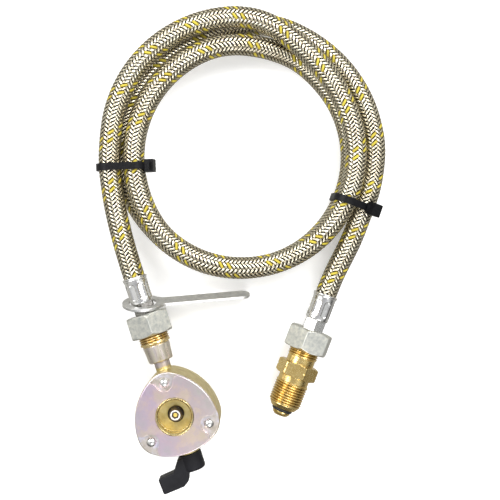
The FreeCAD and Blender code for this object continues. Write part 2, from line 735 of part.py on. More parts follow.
def spanner():
    """Flat spanner with an eye, loose on the neck: drawn flat, then leaned and swung into place."""
    half = spanner_width / 2
    arm = Part.makeBox(spanner_reach - half, spanner_width, spanner_thickness)
    arm.translate(V(0, -half, -spanner_thickness / 2))
    eye = cylinder(spanner_eye_radius, spanner_thickness, V(0, 0, -spanner_thickness / 2), Z)
    end = cylinder(half, spanner_thickness, V(spanner_reach - half, 0, -spanner_thickness / 2), Z)
    blade = eye.fuse([arm, end]).removeSplitter()
    inner = []
    for edge in blade.Edges:
        box = edge.BoundBox
        if box.ZLength > 1 and box.XLength < 0.01 and 5 < box.XMin < spanner_reach - half - 1:
            inner.append(edge)
    blade = blade.makeFillet(spanner_root_radius, inner)
    blade = blade.cut(cylinder(spanner_hole_radius, 10, V(0, 0, -5), Z))
    blade.rotate(V(0, 0, 0), X, -90)
    blade.rotate(V(0, 0, 0), X, spanner_lean)
    blade.rotate(V(0, 0, 0), Y, spanner_droop)
    blade.rotate(V(0, 0, 0), Z, spanner_yaw)
    blade.translate(V(0, spanner_place, outlet_height - spanner_hang))
    return blade


# ---------------------------------------------------------------- hose
def hose_route():
    """Points that the hose goes by: lead from the regulator, turns of the coil, lead to the far end."""
    points = [(0, ferrule_end, outlet_height)] + lead_in
    for centre_x, centre_y, radius, first, last, low, high in coil_stretches:
        sweep = (first - last) % 360
        steps = round(sweep / coil_step)
        reach = radius / math.cos(math.radians(coil_step / 2))
        for k in range(steps + 1):
            share = k / steps if steps else 0
            a = math.radians(first - sweep * share)
            height = low + (high - low) * share
            points.append((centre_x + reach * math.cos(a), centre_y + reach * math.sin(a), height))
    return [V(*p) for p in points + lead_out]


def route_wire(points):
    """Straight runs joined by tangent arcs, each arc as large as its two runs allow."""
    edges = []
    radii = []
    start = points[0]
    for before, corner, after in zip(points, points[1:], points[2:]):
        back = (before - corner).normalize()
        ahead = (after - corner).normalize()
        shorter = min((corner - before).Length, (after - corner).Length)
        half_turn = (math.pi - back.getAngle(ahead)) / 2
        cut_back = bend_share * shorter
        radius = cut_back / math.tan(half_turn)
        radii.append(round(radius, 1))
        first = corner + back * cut_back
        last = corner + ahead * cut_back
        inward = (back + ahead).normalize()
        middle = corner + inward * (radius / math.cos(half_turn) - radius)
        edges.append(Part.LineSegment(start, first).toShape())
        edges.append(Part.Arc(first, middle, last).toShape())
        start = last
    edges.append(Part.LineSegment(start, points[-1]).toShape())
    return Part.Wire(edges), radii


def hose():
    points = hose_route()
    wire, radii = route_wire(points)
    print("bend radii:", radii)
    print("smallest bend radius:", min(radii), "length:", round(wire.Length, 1))
    along = points[1] - points[0]
    solids = []
    for radius in (hose_radius, hose_bore_radius):
        circle = Part.Wire(Part.makeCircle(radius, points[0], along))
        solids.append(wire.makePipeShell([circle], True, False))
    tube = solids[0].cut(solids[1])
    section = math.pi * (hose_radius ** 2 - hose_bore_radius ** 2)
    print("hose volume / (section x length):", round(tube.Volume / (section * wire.Length), 4))
    return tube


# ---------------------------------------------------------------- far end
def far_axis():
    """The point where the hose meets the far ferrule, and the direction in which the hose arrives there."""
    before, start = hose_route()[-2:]
    return start, (start - before).normalize()


def far_place(distance):
    start, axis = far_axis()
    return start + axis * distance


far_nut_start = ferrule_length + neck_gap
far_nut_end = far_nut_start + nut_length
far_face = far_nut_end + far_union_thread_end - far_union_length
far_flange_back = far_face - washer_thickness - tail_flange_thickness


def pol_adaptor():
    """Brass adaptor: union thread, collar, hexagon, collar, cylinder thread, cone and rounded nose."""
    axis = far_axis()[1]
    thread = far_union_length
    collar = thread + far_collar_length
    hexagon_end = collar + pol_hex_length
    second = hexagon_end + pol_collar_length
    main = second + pol_thread_length
    cone = main + pol_cone_length
    groove = cone + pol_groove_length
    tip = groove + pol_nose_length
    profile = [(pol_bore, 0), (union_thread_radius - 0.8, 0), (union_thread_radius, 0.8),
               (union_thread_radius, thread), (far_collar_radius, thread), (far_collar_radius, hexagon_end - 1),
               (pol_collar_radius, hexagon_end - 1), (pol_collar_radius, second),
               (pol_thread_radius, second + 0.6), (pol_thread_radius, main), (pol_cone_tip_radius, cone),
               (pol_groove_radius, cone), (pol_groove_radius, groove), (pol_nose_radius, groove),
               (pol_nose_radius - 0.4, groove + 1.4), (pol_nose_tip_radius, tip), (pol_bore, tip)]
    body = turned(profile, far_place(far_face), axis)
    reach = pol_hex_across_flats / math.sqrt(3)
    base = far_place(far_face + collar)
    prism = hexagon(pol_hex_across_flats, pol_hex_length, base, axis, raised_corner(axis, pol_hex_turn))
    blank = turned([(0, 0), (reach - 1.7, 0), (reach + 0.1, 1.0), (reach + 0.1, pol_hex_length - 1.0),
                    (reach - 1.7, pol_hex_length), (0, pol_hex_length)], base, axis)
    middle = pol_hex_length / 2
    mark_profile = [(reach + 2, middle - 2), (reach + 2, middle + 2), (reach - pol_hex_mark, middle)]
    body = body.fuse(prism.common(blank).cut(turned(mark_profile, base, axis)))
    return body.cut(cylinder(pol_bore, 100, far_place(far_face - 10), axis))


def pol_o_ring():
    axis = far_axis()[1]
    run = far_union_length + far_collar_length + pol_hex_length + pol_collar_length
    run += pol_thread_length + pol_cone_length
    section = pol_groove_length / 2 - 0.05
    place = far_place(far_face + run + pol_groove_length / 2)
    return Part.makeTorus(pol_ring_radius - section, section, place, axis)


def far_hose_tail():
    return hose_tail(far_place(far_face - washer_thickness), -far_axis()[1], Z)


# ---------------------------------------------------------------- cable ties
def strands_across(place, along, reach):
    """Middle points of the strands of hose that cross the plane through place, nearest ones only."""
    line = route_wire(hose_route())[0].discretize(2400)
    found = []
    for before, after in zip(line, line[1:]):
        low = (before - place).dot(along)
        high = (after - place).dot(along)
        if low * high <= 0 and (before - place).Length < reach:
            found.append(before + (after - before) * (low / (low - high)))
    return found


def hull_band(centres, radius, along, width):
    """Prism whose outline is drawn tight round equal circles, centres given in order round the outside."""
    middle = V(0, 0, 0)
    for centre in centres:
        middle = middle + centre * (1.0 / len(centres))
    corners = []
    for before, here, after in zip(centres[-1:] + centres, centres, centres[1:] + centres[:1]):
        first = (here - before).cross(along).normalize()
        last = (after - here).cross(along).normalize()
        if first.dot(here - middle) < 0:
            first = first * -1
            last = last * -1
        corners.append((here, first, last))
    edges = []
    for (here, first, last), (other, other_first, _) in zip(corners, corners[1:] + corners[:1]):
        half = (first + last).normalize()
        edges.append(Part.Arc(here + first * radius, here + half * radius, here + last * radius).toShape())
        edges.append(Part.LineSegment(here + last * radius, other + other_first * radius).toShape())
    face = Part.Face(Part.Wire(edges))
    face.translate(along * (-width / 2))
    return face.extrude(along * width)


def tie(place, heading, head_rise):
    """Cable tie pulled round the strands that pass the place, square to the heading of the hose.

    The head sits on the strand furthest to the right of that heading, head_rise degrees above level."""
    along = V(math.sin(math.radians(heading)), math.cos(math.radians(heading)), 0)
    across = along.cross(Z)
    strands = strands_across(V(*place), along, 4 * hose_radius)
    middle = V(0, 0, 0)
    for strand in strands:
        middle = middle + strand * (1.0 / len(strands))
    strands.sort(key=lambda p: math.atan2((p - middle).z, (p - middle).dot(across)))
    inner = hose_radius + tie_clearance
    outer = inner + tie_thickness
    band = hull_band(strands, outer, along, tie_width).cut(hull_band(strands, inner, along, tie_width + 2))
    end = max(strands, key=lambda p: p.dot(across) + 0.2 * p.z)
    rise = math.radians(head_rise)
    out = across * math.cos(rise) + Z * math.sin(rise)
    up = Z * math.cos(rise) - across * math.sin(rise)
    head = block(end + out * (inner + 0.2), along, up, out, tie_head)
    tail_middle = end + out * (inner + tie_head_slot) + up * ((tie_head[1] + tie_tail_length) / 2)
    tail = block(tail_middle, along, up, out, (tie_width, tie_tail_length, tie_thickness))
    print("tie round", len(strands), "strands")
    return band.fuse([head, tail]).removeSplitter()


def block(base, along, up, out, size):
    """Box of the given size along three directions, its inner face centred on base."""
    length, height, depth = size
    box = Part.makeBox(length, height, depth, V(-length / 2, -height / 2, 0))
    matrix = FreeCAD.Matrix(along.x, up.x, out.x, base.x, along.y, up.y, out.y, base.y,
                            along.z, up.z, out.z, base.z, 0, 0, 0, 1)
    return box.transformGeometry(matrix)


def parts():
    axis = far_axis()[1]
    return {
        "housing": housing(),
        "face_plate": face_plate(),
        "rivets": rivets(),
        "socket_liner": socket_liner(),
        "probe": probe(),
        "probe_seals": probe_seals(),
        "probe_tip": probe_tip(),
        "push_pin": push_pin(),
        "pin_spring": pin_spring(),
        "cam_shaft": cam_shaft(),
        "shaft_seal": shaft_seal(),
        "lever": lever(),
        "lever_screw": lever_screw(),
        "valve_seat": valve_seat(),
        "relay_lever": relay_lever(),
        "relay_pin": relay_pin(),
        "diaphragm": diaphragm(),
        "diaphragm_plate": diaphragm_plate(),
        "range_spring": range_spring(),
        "bonnet": bonnet(),
        "bonnet_screws": bonnet_screws(),
        "outlet_boss": outlet_boss(),
        "outlet_union": outlet_union(),
        "near_nut": coupling_nut(V(0, nut_start, outlet_height), Y, raised_corner(Y, near_nut_turn)),
        "near_washer": sealing_washer(V(0, union_end, outlet_height), Y),
        "near_tail": hose_tail(V(0, union_end + washer_thickness, outlet_height), Y, Z),
        "near_ferrule": ferrule(V(0, ferrule_start, outlet_height), Y, Z),
        "spanner": spanner(),
        "hose": hose(),
        "tie_left": tie(tie_left_place, tie_left_heading, tie_left_head_rise),
        "tie_right": tie(tie_right_place, tie_right_heading, tie_right_head_rise),
        "far_ferrule": ferrule(far_place(ferrule_length), -axis, Z),
        "far_tail": far_hose_tail(),
        "far_nut": coupling_nut(far_place(far_nut_end), -axis, raised_corner(axis, far_nut_turn)),
        "far_washer": sealing_washer(far_place(far_face), -axis),
        "pol_adaptor": pol_adaptor(),
        "pol_o_ring": pol_o_ring(),
    }


os.makedirs("parts", exist_ok=True)
for name, shape in parts().items():
    shape.exportStep("parts/" + name + ".step")
    print(name, "solids", len(shape.Solids), "volume", round(shape.Volume, 1), "valid", shape.isValid())
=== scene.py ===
import math
import bmesh
import bpy
import numpy as np
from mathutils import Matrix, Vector


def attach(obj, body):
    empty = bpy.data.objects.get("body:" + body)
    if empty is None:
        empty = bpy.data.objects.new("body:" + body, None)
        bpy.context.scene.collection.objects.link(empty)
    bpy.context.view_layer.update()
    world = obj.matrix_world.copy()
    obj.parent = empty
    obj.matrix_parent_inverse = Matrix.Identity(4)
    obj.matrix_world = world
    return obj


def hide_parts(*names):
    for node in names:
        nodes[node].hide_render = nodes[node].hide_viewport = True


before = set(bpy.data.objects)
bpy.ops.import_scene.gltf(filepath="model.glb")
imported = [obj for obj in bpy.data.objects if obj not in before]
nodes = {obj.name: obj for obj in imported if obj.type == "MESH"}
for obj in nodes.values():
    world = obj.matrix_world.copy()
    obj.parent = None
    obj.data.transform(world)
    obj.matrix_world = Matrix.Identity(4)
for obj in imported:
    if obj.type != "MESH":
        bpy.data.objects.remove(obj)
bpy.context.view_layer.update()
mm = 0.001

# ---------------------------------------------------------------- camera, floor and lights
# A white product table seen from straight above, with the camera turned a little to one side.
# Two wide soft lamps stand over the far side of the table and a weaker one over the near side.
# The room round the table is light above and on the far side, and dark low down on the near side.
camera_data = bpy.data.cameras.new("table_camera")
camera_data.lens = 68.83
camera_data.sensor_width = 36.0
camera = bpy.data.objects.new("table_camera", camera_data)
camera.location = (0.0781, 0.0857, 0.650)
camera.rotation_euler = (0, 0, math.radians(-18))
bpy.context.scene.collection.objects.link(camera)
bpy.context.scene.camera = camera
bpy.context.scene.view_settings.view_transform = "Standard"
bpy.context.scene.view_settings.look = "None"


def add(tree, kind, inputs=(), **settings):
    """A shader node with its settings and its inputs, each input a value or another node's output."""
    made = tree.nodes.new(kind)
    for key, value in settings.items():
        setattr(made, key, value)
    for key, value in inputs:
        if isinstance(value, bpy.types.NodeSocket):
            tree.links.new(value, made.inputs[key])
        else:
            made.inputs[key].default_value = value
    return made


def ramp(tree, factor, stops):
    """Blends between colours; stops are (place, red, green, blue)."""
    made = add(tree, "ShaderNodeValToRGB", [("Fac", factor)])
    elements = made.color_ramp.elements
    elements[0].position, elements[1].position = stops[0][0], stops[-1][0]
    elements[0].color, elements[1].color = (*stops[0][1:], 1), (*stops[-1][1:], 1)
    for place, red, green, blue in stops[1:-1]:
        elements.new(place).color = (red, green, blue, 1)
    return made.outputs["Color"]


def new_finish(name, metallic=0.0, roughness=0.5):
    material = bpy.data.materials.new(name)
    material.use_nodes = True
    tree = material.node_tree
    shader = tree.nodes["Principled BSDF"]
    shader.inputs["Metallic"].default_value = metallic
    shader.inputs["Roughness"].default_value = roughness
    return material, tree, shader


def link_piece(name, mesh, material, body):
    """Puts a finished mesh in the scene, on its body and with its finish."""
    piece = bpy.data.objects.new(name, mesh)
    bpy.context.scene.collection.objects.link(piece)
    mesh.materials.append(material)
    if body:
        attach(piece, body)
    return piece


table_reach = 4.0
table_level = -0.2 * mm
table_mesh = bpy.data.meshes.new("table")
table_signs = ((-1, -1), (1, -1), (1, 1), (-1, 1))
table_corners = [(x * table_reach, y * table_reach, table_level) for x, y in table_signs]
table_mesh.from_pydata(table_corners, [], [(0, 1, 2, 3)])
table_paint, tree, shader = new_finish("table_paint", 0.0, 0.9)
place = add(tree, "ShaderNodeTexCoord").outputs["Object"]
mottle = add(tree, "ShaderNodeTexNoise", [("Vector", place), ("Scale", 9.0), ("Detail", 3.0)])
tree.links.new(ramp(tree, mottle.outputs["Fac"], [(0.3, 0.90, 0.90, 0.90), (0.7, 0.93, 0.93, 0.93)]),
               shader.inputs["Base Color"])
shader.inputs["Specular IOR Level"].default_value = 0.1
shader.inputs["Emission Color"].default_value = (1.0, 1.0, 1.0, 1)
shader.inputs["Emission Strength"].default_value = 0.30
table = link_piece("table", table_mesh, table_paint, None)
table.visible_glossy = False

world = bpy.data.worlds.new("studio")
bpy.context.scene.world = world
world.use_nodes = True
tent = world.node_tree
direction = add(tent, "ShaderNodeTexCoord").outputs["Generated"]
parts = add(tent, "ShaderNodeSeparateXYZ", [("Vector", direction)])
height = add(tent, "ShaderNodeMapRange", [("Value", parts.outputs["Z"]), ("From Min", -1.0),
                                          ("From Max", 1.0)]).outputs[0]
near_side = ramp(tent, height, [(0.25, 0.50, 0.49, 0.46), (0.45, 0.20, 0.19, 0.18), (0.57, 0.09, 0.09, 0.09),
                                (0.70, 0.40, 0.40, 0.39), (0.86, 0.86, 0.87, 0.87), (1.0, 0.54, 0.54, 0.55)])
far_side = ramp(tent, height, [(0.30, 0.66, 0.65, 0.60), (0.47, 0.66, 0.65, 0.59), (0.56, 0.52, 0.51, 0.48),
                               (0.68, 0.96, 0.95, 0.90), (0.84, 0.82, 0.82, 0.82), (1.0, 0.54, 0.54, 0.55)])
turned_far = add(tent, "ShaderNodeMapRange", [("Value", parts.outputs["Y"]), ("From Min", -0.35),
                                              ("From Max", 0.10)])
tent_light = add(tent, "ShaderNodeMix", [(0, turned_far.outputs[0]), (6, near_side), (7, far_side)],
                 data_type="RGBA").outputs[2]
tent.links.new(tent_light, tent.nodes["Background"].inputs["Color"])
tent.nodes["Background"].inputs["Strength"].default_value = 0.85


table_middle = (0.09, 0.09, 0.0)


def soft_lamp(name, place, width, watts):
    """A square lamp that is aimed at the middle of what lies on the table."""
    lamp_data = bpy.data.lights.new(name, "AREA")
    lamp_data.shape = "SQUARE"
    lamp_data.size = width
    lamp_data.energy = watts
    lamp = bpy.data.objects.new(name, lamp_data)
    lamp.location = place
    lamp.rotation_euler = (Vector(table_middle) - Vector(place)).to_track_quat("-Z", "Y").to_euler()
    bpy.context.scene.collection.objects.link(lamp)


soft_lamp("lamp_above_right", (0.75, 0.55, 1.00), width=0.70, watts=13.0)
soft_lamp("lamp_above_left", (-0.55, 0.75, 0.95), width=0.60, watts=9.0)
soft_lamp("lamp_near", (0.05, -0.75, 0.90), width=0.50, watts=5.0)

# ---------------------------------------------------------------- hose
# A rubber gas hose, 14.5 mm across its braid, that lies in two and three quarter loose turns.
# It runs straight out of the near ferrule and comes back under the turns to the far one.
hose_exit = (0.0, 92.3, 20.0)
lead_in = [(0, 108, 20), (1, 127, 20), (3, 146, 21)]
lead_out = [(169, 103, 16.4), (156, 86, 16.2), (144, 71, 15.5), (133, 60, 15.2), (124.1, 51, 15.2),
            (117, 42.2, 15.2)]
coil_step = 27.0
# Each row: centre x and y, radius of the middle line, first and last clock angle, first and last height.
coil_stretches = [
    (91.3, 155.5, 82.4, 168, 88, 22.0, 21.6),
    (91.3, 155.5, 82.4, 62, 62, 22.5, 22.5),
    (92.5, 148.5, 78.3, 40, 40, 22.6, 22.6),
    (92.5, 147.5, 75.0, 14, -41, 22.6, 23.8),
    (92.5, 147.5, 75.0, -68, -151, 23.2, 22.8),
    (96.3, 144.2, 75.2, -180, 84, 22.0, 21.0),
    (94.5, 142.8, 75.1, 58, 58, 11.8, 11.8),
    (91.0, 147.0, 74.5, 34, -47, 7.4, 8.9),
    (91.0, 147.0, 74.5, -73, -150, 7.8, 7.8),
    (93.4, 151.2, 79.6, -175, 86, 9.1, 7.4),
    (91.5, 148.0, 90.0, 60, 60, 7.4, 7.4),
    (91.5, 148.0, 88.4, 35, -11, 11.0, 16.0),
]
route = [hose_exit] + lead_in
for centre_x, centre_y, radius, first, last, low, high in coil_stretches:
    sweep = (first - last) % 360
    steps = round(sweep / coil_step)
    reach = radius / math.cos(math.radians(coil_step / 2))
    for k in range(steps + 1):
        share = k / steps if steps else 0
        a = math.radians(first - sweep * share)
        route.append((centre_x + reach * math.cos(a), centre_y + reach * math.sin(a),
                      low + (high - low) * share))
route = route + lead_out

hose_line_data = bpy.data.curves.new("hose_line", "CURVE")
hose_line_data.dimensions = "3D"
hose_spline = hose_line_data.splines.new("NURBS")
hose_spline.points.add(len(route) - 1)
for point, (x, y, z) in zip(hose_spline.points, route):
    point.co = (x * mm, y * mm, z * mm, 1.0)
hose_spline.order_u = 3
hose_spline.use_endpoint_u = True
hose_spline.resolution_u = 40
hose_line = bpy.data.objects.new("hose_line", hose_line_data)
bpy.context.scene.collection.objects.link(hose_line)
bpy.context.view_layer.update()
line_mesh = bpy.data.meshes.new_from_object(hose_line)
line_points = np.array([v.co for v in line_mesh.vertices], float)
bpy.data.objects.remove(hose_line)
line_steps = np.linalg.norm(np.diff(line_points, axis=0), axis=1)
line_run = np.concatenate([[0.0], np.cumsum(line_steps)])
hose_length = float(line_run[-1])


def along_hose(count):
    """Evenly spaced places along the hose: distance, point, way ahead, way up and way across."""
    run = np.linspace(0, hose_length, count)
    points = np.stack([np.interp(run, line_run, line_points[:, k]) for k in range(3)], axis=1)
    ahead = np.gradient(points, axis=0)
    ahead /= np.linalg.norm(ahead, axis=1)[:, None]
    up = np.array([0.0, 0.0, 1.0]) - ahead * ahead[:, 2:3]
    up /= np.linalg.norm(up, axis=1)[:, None]
    return run, points, ahead, up, np.cross(ahead, up)


def grid_mesh(name, rings, close_ends=True, across=None, along=None, values=None, smooth=True):
    """A closed skin from rings of points, an array of shape (pieces, rings, points round, 3)."""
    pieces, count, around = rings.shape[:3]
    index = np.arange(pieces * count * around).reshape(pieces, count, around)
    ahead = np.roll(index, -1, axis=2)
    quads = np.stack([index[:, :-1], ahead[:, :-1], ahead[:, 1:], index[:, 1:]], axis=-1).reshape(-1, 4)
    faces = quads.tolist()
    if close_ends:
        faces += index[:, 0, ::-1].tolist() + index[:, -1].tolist()
    mesh = bpy.data.meshes.new(name)
    mesh.from_pydata(rings.reshape(-1, 3).tolist(), [], faces)
    mesh.polygons.foreach_set("use_smooth", [smooth] * len(mesh.polygons))
    if across is not None:
        layer = mesh.uv_layers.new(name="wires")
        corner = np.zeros(len(mesh.loops), np.int32)
        mesh.loops.foreach_get("vertex_index", corner)
        uv = np.stack([along.reshape(-1)[corner], across.reshape(-1)[corner]], axis=1)
        layer.data.foreach_set("uv", uv.astype(np.float32).reshape(-1))
    if values is not None:
        layer = mesh.attributes.new("lift", "FLOAT", "POINT")
        layer.data.foreach_set("value", values.astype(np.float32).reshape(-1))
    return mesh


hose_rubber, tree, shader = new_finish("hose_rubber", 0.0, 0.6)
place = add(tree, "ShaderNodeTexCoord").outputs["Object"]
dust = add(tree, "ShaderNodeTexNoise", [("Vector", place), ("Scale", 700.0), ("Detail", 4.0)])
tree.links.new(ramp(tree, dust.outputs["Fac"], [(0.35, 0.006, 0.006, 0.007), (0.8, 0.03, 0.03, 0.032)]),
               shader.inputs["Base Color"])
dents = add(tree, "ShaderNodeBump", [("Height", dust.outputs["Fac"]), ("Distance", 0.0001),
                                     ("Strength", 0.5)])
tree.links.new(dents.outputs["Normal"], shader.inputs["Normal"])

core_radius = 6.55 * mm
core_points_round = 24
core_rings = 900
run, points, ahead, up, side = along_hose(core_rings)
turn = np.linspace(0, 2 * math.pi, core_points_round, endpoint=False)
ring = up[:, None, :] * np.cos(turn)[None, :, None] + side[:, None, :] * np.sin(turn)[None, :, None]
core = link_piece("hose_core", grid_mesh("hose_core", (points[:, None, :] + ring * core_radius)[None]),
                  hose_rubber, "regulator")
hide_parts("hose")

# ---------------------------------------------------------------- wire braid over the hose
# Twenty-four flat bundles of stainless wire, twelve each way, woven two over and two under.
# Two bundles of one way are yellow yarn, which marks the hose with slanting flecks.
braid_pitch = 32.0 * mm           # length of one turn of a bundle
bundles_each_way = 12
bundle_width = 2.05 * mm
bundle_crown = 0.32 * mm
braid_radius = 6.95 * mm
braid_lift = 0.20 * mm
crossings_in_pitch = 2 * bundles_each_way
samples_in_crossing = 2
yarn_bundles = (0, 2)
float_flatness = 1.6              # how long a bundle stays level between two crossings
# A bundle's outline across its width: place from edge to edge, and share of its crown dropped there.
bundle_outline = ((-1, 1.0), (-0.36, 0.0), (0.36, 0.0), (1, 1.0))

braid_count = round(hose_length / braid_pitch * crossings_in_pitch * samples_in_crossing) + 1
run, points, ahead, up, side = along_hose(braid_count)
crossing = run / braid_pitch * crossings_in_pitch


def over_and_under(places):
    """How high a bundle lies at each crossing, from 1 over the other way to -1 under it."""
    return np.clip(float_flatness * np.cos(math.pi * (places - 0.5) / 2), -1, 1)


def bundles(name, hand, members):
    """Lens-shaped strips that wind round the hose, hand 1 or -1."""
    rings, across, distance, lifts = [], [], [], []
    for k in members:
        angle = 2 * math.pi * (k / bundles_each_way + hand * run / braid_pitch)
        lift = over_and_under(crossing + 2 * k) if hand > 0 else -over_and_under(2 * k - crossing)
        out = up * np.cos(angle)[:, None] + side * np.sin(angle)[:, None]
        round_way = side * np.cos(angle)[:, None] - up * np.sin(angle)[:, None]
        way = ahead * braid_pitch + round_way * (hand * 2 * math.pi * braid_radius)
        way /= np.linalg.norm(way, axis=1)[:, None]
        sideways = np.cross(out, way)
        height = braid_radius + braid_lift * lift
        strip = []
        for share, drop in bundle_outline:
            skin = out * (height - bundle_crown * drop)[:, None]
            strip.append(points + skin + sideways * (share * bundle_width / 2))
            across.append(np.full(braid_count, (share + 1) / 2))
            distance.append(run / mm)
            lifts.append(lift)
        rings.append(np.stack(strip, axis=1))
    shape = (len(rings), len(bundle_outline), braid_count)
    turned_round = [np.array(a).reshape(shape).transpose(0, 2, 1) for a in (across, distance, lifts)]
    return grid_mesh(name, np.array(rings)[:, :, ::-1], True, turned_round[0][:, :, ::-1],
                     turned_round[1][:, :, ::-1], turned_round[2][:, :, ::-1])


def bundle_finish(name, metallic, roughness, bright, middle, deep, wire_depth):
    """Fine wires side by side: grooves between them, and painted shade where the bundle dips under another and
    towards its two edges.
    """
    material, tree, shader = new_finish(name, metallic, roughness)
    wires_in_bundle = 7
    uv = add(tree, "ShaderNodeUVMap", uv_map="wires").outputs["UV"]
    parts = add(tree, "ShaderNodeSeparateXYZ", [("Vector", uv)])
    phase = add(tree, "ShaderNodeMath", [(0, parts.outputs["Y"]), (1, wires_in_bundle * 2 * math.pi)],
                operation="MULTIPLY")
    groove = add(tree, "ShaderNodeMath", [(0, phase.outputs[0])], operation="COSINE")
    bump = add(tree, "ShaderNodeBump", [("Height", groove.outputs[0]), ("Distance", wire_depth),
                                        ("Strength", 0.8)], invert=True)
    tree.links.new(bump.outputs["Normal"], shader.inputs["Normal"])
    # Painted shade: the colour falls to the deep one where the bundle dips under the crossing bundle and near
    # its two edges.
    lift = add(tree, "ShaderNodeAttribute", attribute_name="lift").outputs["Fac"]
    dip_shade = add(tree, "ShaderNodeMapRange", [("Value", lift), ("From Min", -0.6), ("From Max", 0.9)])
    off_middle = add(tree, "ShaderNodeMath", [(0, parts.outputs["Y"]), (1, 0.5)], operation="SUBTRACT")
    off_middle = add(tree, "ShaderNodeMath", [(0, off_middle.outputs[0])], operation="ABSOLUTE")
    inside = add(tree, "ShaderNodeMapRange", [("Value", off_middle.outputs[0]), ("From Min", 0.5),
                                              ("From Max", 0.22)])
    painted_light_share = add(tree, "ShaderNodeMath", [(0, dip_shade.outputs[0]), (1, inside.outputs[0])],
                operation="MULTIPLY")
    colour = ramp(tree, painted_light_share.outputs[0], [(0.0, *deep), (0.45, *middle), (0.9, *bright)])
    patches = add(tree, "ShaderNodeTexNoise", [("Vector", add(tree, "ShaderNodeTexCoord").outputs["Object"]),
                                               ("Scale", 160.0), ("Detail", 4.0)]).outputs["Fac"]
    tint = ramp(tree, patches, [(0.35, 0.84, 0.79, 0.70), (0.65, 1.0, 0.99, 0.95)])
    colour = add(tree, "ShaderNodeMix", [(0, 1.0), (6, colour), (7, tint)], data_type="RGBA",
                 blend_type="MULTIPLY").outputs[2]
    tree.links.new(colour, shader.inputs["Base Color"])
    return material


# The last colour of each braid finish is its painted shade, under the crossings and along the bundle edges.
wire_steel = bundle_finish("wire_steel", 1.0, 0.26, (0.86, 0.82, 0.69), (0.44, 0.41, 0.33),
                           (0.012, 0.010, 0.008), 0.00002)
yellow_yarn = bundle_finish("yellow_yarn", 0.0, 0.55, (0.62, 0.52, 0.05), (0.50, 0.40, 0.03),
                            (0.14, 0.10, 0.01), 0.00002)
steel_right = [k for k in range(bundles_each_way) if k not in yarn_bundles]
bundle_sets = [("braid_right_first", 1, steel_right[:5], wire_steel),
               ("braid_right_second", 1, steel_right[5:], wire_steel),
               ("braid_yarn", 1, yarn_bundles, yellow_yarn), ("braid_left_first", -1, range(6), wire_steel),
               ("braid_left_second", -1, range(6, 12), wire_steel)]
for name, hand, members, finish in bundle_sets:
    piece = link_piece(name, bundles(name, hand, members), finish, "regulator")
    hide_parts("hose")


# ---------------------------------------------------------------- ferrules
# Two thin steel sleeves, chromium bright, pressed on the ends of the hose with eight long dies.
# Each has a small rolled lip where the hose goes in, and round-ended flats left by the dies.
def plated(name, tones, roughness, patch, grain, grain_depth, metallic=1.0, edge=None, edge_width=0.0005,
           stretch=(1, 1, 1), gloss=0.5, root_shade=None):
    """A metal or plastic with patches of colour, a fine grain and, if asked for, a painted highlight along its
    edges.

    patch and grain are how fine each is, larger is finer; grain_depth and edge_width are in metres.
    gloss is the shine of its clear skin, and root_shade a colour of painted shade for the bottoms of a thread.
    """
    material, tree, shader = new_finish(name, metallic, roughness[0])
    shader.inputs["Specular IOR Level"].default_value = gloss
    place = add(tree, "ShaderNodeTexCoord").outputs["Object"]
    place = add(tree, "ShaderNodeMapping", [("Vector", place), ("Scale", stretch)]).outputs["Vector"]
    patches = add(tree, "ShaderNodeTexNoise",
                  [("Vector", place), ("Scale", patch), ("Detail", 5.0), ("Roughness", 0.62)])
    colour = ramp(tree, patches.outputs["Fac"], tones)
    specks = add(tree, "ShaderNodeTexNoise", [("Vector", place), ("Scale", grain), ("Detail", 3.0),
                                              ("Roughness", 0.55)])
    shine = add(tree, "ShaderNodeMapRange",
                [("Value", specks.outputs["Fac"]), ("From Min", 0.3), ("From Max", 0.7),
                 ("To Min", roughness[0]), ("To Max", roughness[1])])
    tree.links.new(shine.outputs[0], shader.inputs["Roughness"])
    bump = add(tree, "ShaderNodeBump", [("Height", specks.outputs["Fac"]), ("Distance", grain_depth),
                                        ("Strength", 1.0)])
    tree.links.new(bump.outputs["Normal"], shader.inputs["Normal"])
    # edge is the colour of a painted highlight, laid where the rounded normal leans away from the true one,
    # along the edges.
    if edge:
        rounded = add(tree, "ShaderNodeBevel", [("Radius", edge_width)], samples=6).outputs["Normal"]
        tree.links.new(rounded, bump.inputs["Normal"])
        flat = add(tree, "ShaderNodeNewGeometry").outputs["Normal"]
        agree = add(tree, "ShaderNodeVectorMath", [(0, rounded), (1, flat)],
                    operation="DOT_PRODUCT").outputs["Value"]
        edge_highlight = add(tree, "ShaderNodeMapRange", [("Value", agree), ("From Min", 0.80), ("From Max", 0.985),
                                                ("To Min", 1.0), ("To Max", 0.0)]).outputs[0]
        mixed = add(tree, "ShaderNodeMix", [(0, edge_highlight), (6, colour), (7, (*edge, 1))], data_type="RGBA")
        colour = mixed.outputs[2]
    # Painted shade in the bottoms of a thread, stronger where the cut is deeper.
    if root_shade:
        lift = add(tree, "ShaderNodeAttribute", attribute_name="lift").outputs["Fac"]
        deep = add(tree, "ShaderNodeMapRange",
                   [("Value", lift), ("From Min", -0.30), ("From Max", -0.75)]).outputs[0]
        mixed = add(tree, "ShaderNodeMix", [(0, deep), (6, colour), (7, (*root_shade, 1))], data_type="RGBA")
        colour = mixed.outputs[2]
    tree.links.new(colour, shader.inputs["Base Color"])
    return material


hexagon_row = 30.0                # rows of this radius are cut to a hexagon by the shape


